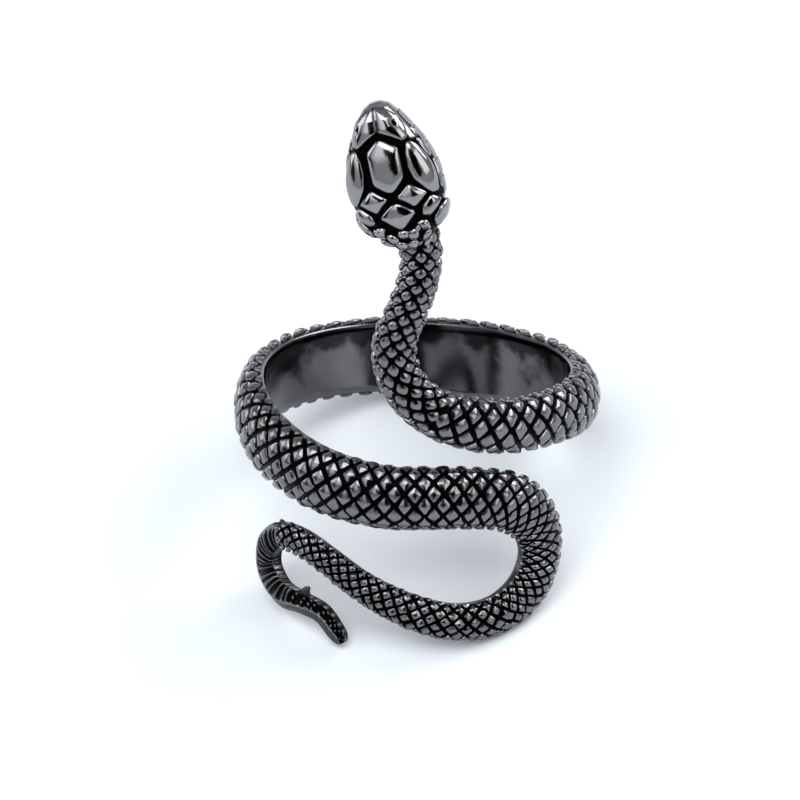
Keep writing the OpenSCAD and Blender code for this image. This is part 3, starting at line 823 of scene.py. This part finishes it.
# on the sides: two cheek shields under the brow and the jaw's corner, as turn and along
CHEEKS = [[(11, 5.3), (25, 5.55), (28, 5.1), (22, 4.35), (12, 4.35)],
          [(11, 4.15), (17, 4.1), (19, 3.2), (18, 2.5), (11, 2.35)]]
JAW = [(-14, 1.4), (8, 1.65), (28, 1.45), (41, 0.85), (27, 0.3), (-10, 0.3)]
NOSTRIL = ((0.91, 6.7), 0.2, 0.16)
shields = [shield(turned(FOREHEAD), pillow=0.24), shield(turned(OCCIPUT))]
shields += both_sides(turned(BROW), pillow=0.24)
for corners in (CROWN, NAPE, COLLAR):
    shields += both_sides(turned(corners))
for corners in CHEEKS:
    shields += both_sides(corners, height=0.12, grow=0.03, crown=0.03)
shields += both_sides(JAW, grow=0.04)
shields += both_sides(turned(NOSE), grow=0.02, pillow=0.2, dimple=NOSTRIL)
finish_piece(joined(shields, "head_shields"), 60, HEAD_NICKEL)

# the lips: from where to where along, between which turns, how many, and the gap between them
LIP_FROM, LIP_TO, LIP_LOW, LIP_HIGH, LIPS, LIP_GAP = 1.9, 7.1, -26, 9, 5, 0.1
lip_len = (LIP_TO - LIP_FROM) / LIPS
lips = []
for k in range(LIPS):
    back = LIP_FROM + k * lip_len + LIP_GAP / 2
    front = LIP_FROM + (k + 1) * lip_len - LIP_GAP / 2
    lips += both_sides([(LIP_LOW, back), (LIP_LOW, front), (LIP_HIGH, front), (LIP_HIGH, back)],
                       height=0.07, bevel=0.06, crown=0.02, rounding=0.1, grow=0.01)
finish_piece(joined(lips, "lip_shields"), 60, HEAD_NICKEL)

# small round scales between the neck and the shields: across, along, radius
NAPE_BEADS = ((-1.36, 0.57, 0.31), (-0.68, 0.14, 0.31), (0, 0.34, 0.24), (0.55, 0.2, 0.32),
              (1.12, -0.05, 0.3), (-1.12, -0.1, 0.27), (0.86, 0.55, 0.2),
              (-0.34, -0.42, 0.27), (0.3, -0.48, 0.27), (0.9, -0.54, 0.25))
NAPE_BEAD_HEIGHT = 0.36
# the eyes between nose and brow: turn, along, radius, height
EYE_TURN, EYE_ALONG, EYE_R, EYE_HEIGHT = 15, 5.88, 0.22, 0.12
# a bead is longer than wide, and black only at its foot
BEAD_LONG, BEAD_BLACK_TO, DEGREES_PER_RADIAN = 1.35, 0.25, 57.3


def bead(turn, along, radius, height):
    """A bead on the head's skin."""
    obj = added(bpy.ops.mesh.primitive_uv_sphere_add, segments=16, ring_count=10, radius=1)
    p = points_of(obj)
    turns = turn - p[:, 0] * radius / head_row(along)[HALF] * DEGREES_PER_RADIAN
    put(obj, head_skin(turns, along + p[:, 1] * radius * BEAD_LONG, p[:, 2] * height))
    keep_relief(obj, np.clip(p[:, 2] / BEAD_BLACK_TO, 0, 1))
    face_outwards(obj)
    return obj


beads = [bead(*turned([(across, along)])[0], radius, NAPE_BEAD_HEIGHT)
         for across, along, radius in NAPE_BEADS]
finish_piece(joined(beads, "nape_beads"), 60, HEAD_NICKEL)
eyes = [bead(turn, EYE_ALONG, EYE_R, EYE_HEIGHT) for turn in (EYE_TURN, 180 - EYE_TURN)]
finish_piece(joined(eyes, "eyes"), 60, HEAD_NICKEL)

# ---------------------------------------------------------------- table top
# The table is covered in matt white card, which takes soft shadows and mirrors nothing
CARD, CARD_ROUGH, FLOOR_M = "#e0e5e9", 0.9, 3
floor = added(bpy.ops.mesh.primitive_plane_add, size=FLOOR_M)
floor.name = "table_top"
card = bpy.data.materials.new("matt_white_card")
card.use_nodes = True
card_shader = card.node_tree.nodes["Principled BSDF"].inputs
card_shader["Base Color"].default_value = linear(CARD)
card_shader["Roughness"].default_value = CARD_ROUGH
floor.data.materials.append(card)

# ---------------------------------------------------------------- light
# the softboxes: where they stand and their size, in mm, and their power in watts
SOFTBOXES = {"top_softbox": ((-50, -100, 425), (320, 270), 0.95),
             "left_softbox": ((-384, 68, 182), (240, 260), 0.5),
             "right_softbox": ((315, 180, 250), (300, 240), 1.2),
             "front_right_softbox": ((300, -200, 250), (250, 250), 0.42)}
LIGHT_AIM = (0, 0, 10)
# the cloth tent round the table, from front to back: bright in front, greyer at the sides and
# overhead, and paler again straight behind the ring
TENT = ((0.0, "#d8dade"), (0.35, "#c8ccd1"), (0.7, "#a6aaaf"), (0.82, "#a6aaaf"),
        (0.9, "#cdd0d4"))
# what the metal mirrors in the tent: the camera on its stand, dark, the glow of a lamp behind
# the cloth on the left, and a dark gap low on the left. Azimuth, elevation, from which to which
# radius it fades, and its brightness there
SPOTS = ((6, 42, 19, 23, 0.03), (6, 27, 18, 22, 0.03), (5, 14, 8, 12, 0.03),
         (-38, 48, 4, 32, 3.3), (-66, 6, 11, 17, 0.05))

for name, (stand_mm, size_mm, power) in SOFTBOXES.items():
    light = bpy.data.lights.new(name, "AREA")
    light.shape = "RECTANGLE"
    light.size, light.size_y = size_mm[0] * MM, size_mm[1] * MM
    light.energy = power
    lamp = bpy.data.objects.new(name, light)
    bpy.context.collection.objects.link(lamp)
    lamp.location = [v * MM for v in stand_mm]
    aim = np.array(LIGHT_AIM) * MM - np.array(lamp.location)
    lamp.rotation_euler = Vector(aim).to_track_quat("-Z", "Y").to_euler()

world = bpy.data.worlds.new("light_tent")
bpy.context.scene.world = world
world.use_nodes = True
sky = world.node_tree
direction = node(sky, "ShaderNodeTexCoord").outputs["Generated"]
depth = node(sky, "ShaderNodeSeparateXYZ", Vector=direction).outputs["Y"]
towards_back = node(sky, "ShaderNodeMath", {"operation": "MULTIPLY_ADD"}, i0=depth, i1=0.5,
                    i2=0.5).outputs[0]
tent = node(sky, "ShaderNodeValToRGB", stops=TENT, Fac=towards_back).outputs["Color"]
brightness = 1.0
for azimuth, elevation, inside, outside, level in SPOTS:
    a, e = math.radians(azimuth), math.radians(elevation)
    heading = (math.sin(a) * math.cos(e), -math.cos(a) * math.cos(e), math.sin(e))
    dot = node(sky, "ShaderNodeVectorMath", {"operation": "DOT_PRODUCT"}, i0=direction,
               i1=heading).outputs["Value"]
    spot = node(sky, "ShaderNodeMapRange", {"interpolation_type": "SMOOTHSTEP"}, Value=dot,
                From_Min=math.cos(math.radians(outside)),
                From_Max=math.cos(math.radians(inside)), To_Min=1.0, To_Max=level).outputs[0]
    brightness = node(sky, "ShaderNodeMath", {"operation": "MULTIPLY"}, i0=spot,
                      i1=brightness).outputs[0]
sky.links.new(tent, sky.nodes["Background"].inputs["Color"])
sky.links.new(brightness, sky.nodes["Background"].inputs["Strength"])

# ---------------------------------------------------------------- camera
# in the upright ring's own frame: how far the camera looks down, how far off it stands, and how
# far to the right of the finger's axis and above the band's middle it aims, in mm
LOOK_DOWN, CAMERA_FAR, AIM_RIGHT, AIM_UP = math.radians(17.8), 300, -1.0, 0.15
SENSOR_MM, LENS_MM, CLIP_M = 36, 228.7, (0.01, 10)
look = np.array([0, math.cos(LOOK_DOWN), -math.sin(LOOK_DOWN)])
upward = np.array([0, math.sin(LOOK_DOWN), math.cos(LOOK_DOWN)])
right = np.array([1.0, 0, 0])
camera_data = bpy.data.cameras.new("camera")
camera_data.sensor_width, camera_data.lens = SENSOR_MM, LENS_MM
camera_data.clip_start, camera_data.clip_end = CLIP_M
camera = bpy.data.objects.new("camera", camera_data)
bpy.context.collection.objects.link(camera)
spin = LAID @ np.column_stack([right, upward, -look])
where = laid(-CAMERA_FAR * look + AIM_RIGHT * right + AIM_UP * upward)
camera.matrix_world = Matrix.Translation(where.tolist()) @ Matrix(spin.tolist()).to_4x4()
bpy.context.scene.camera = camera
bpy.context.scene.view_settings.view_transform = "Standard"
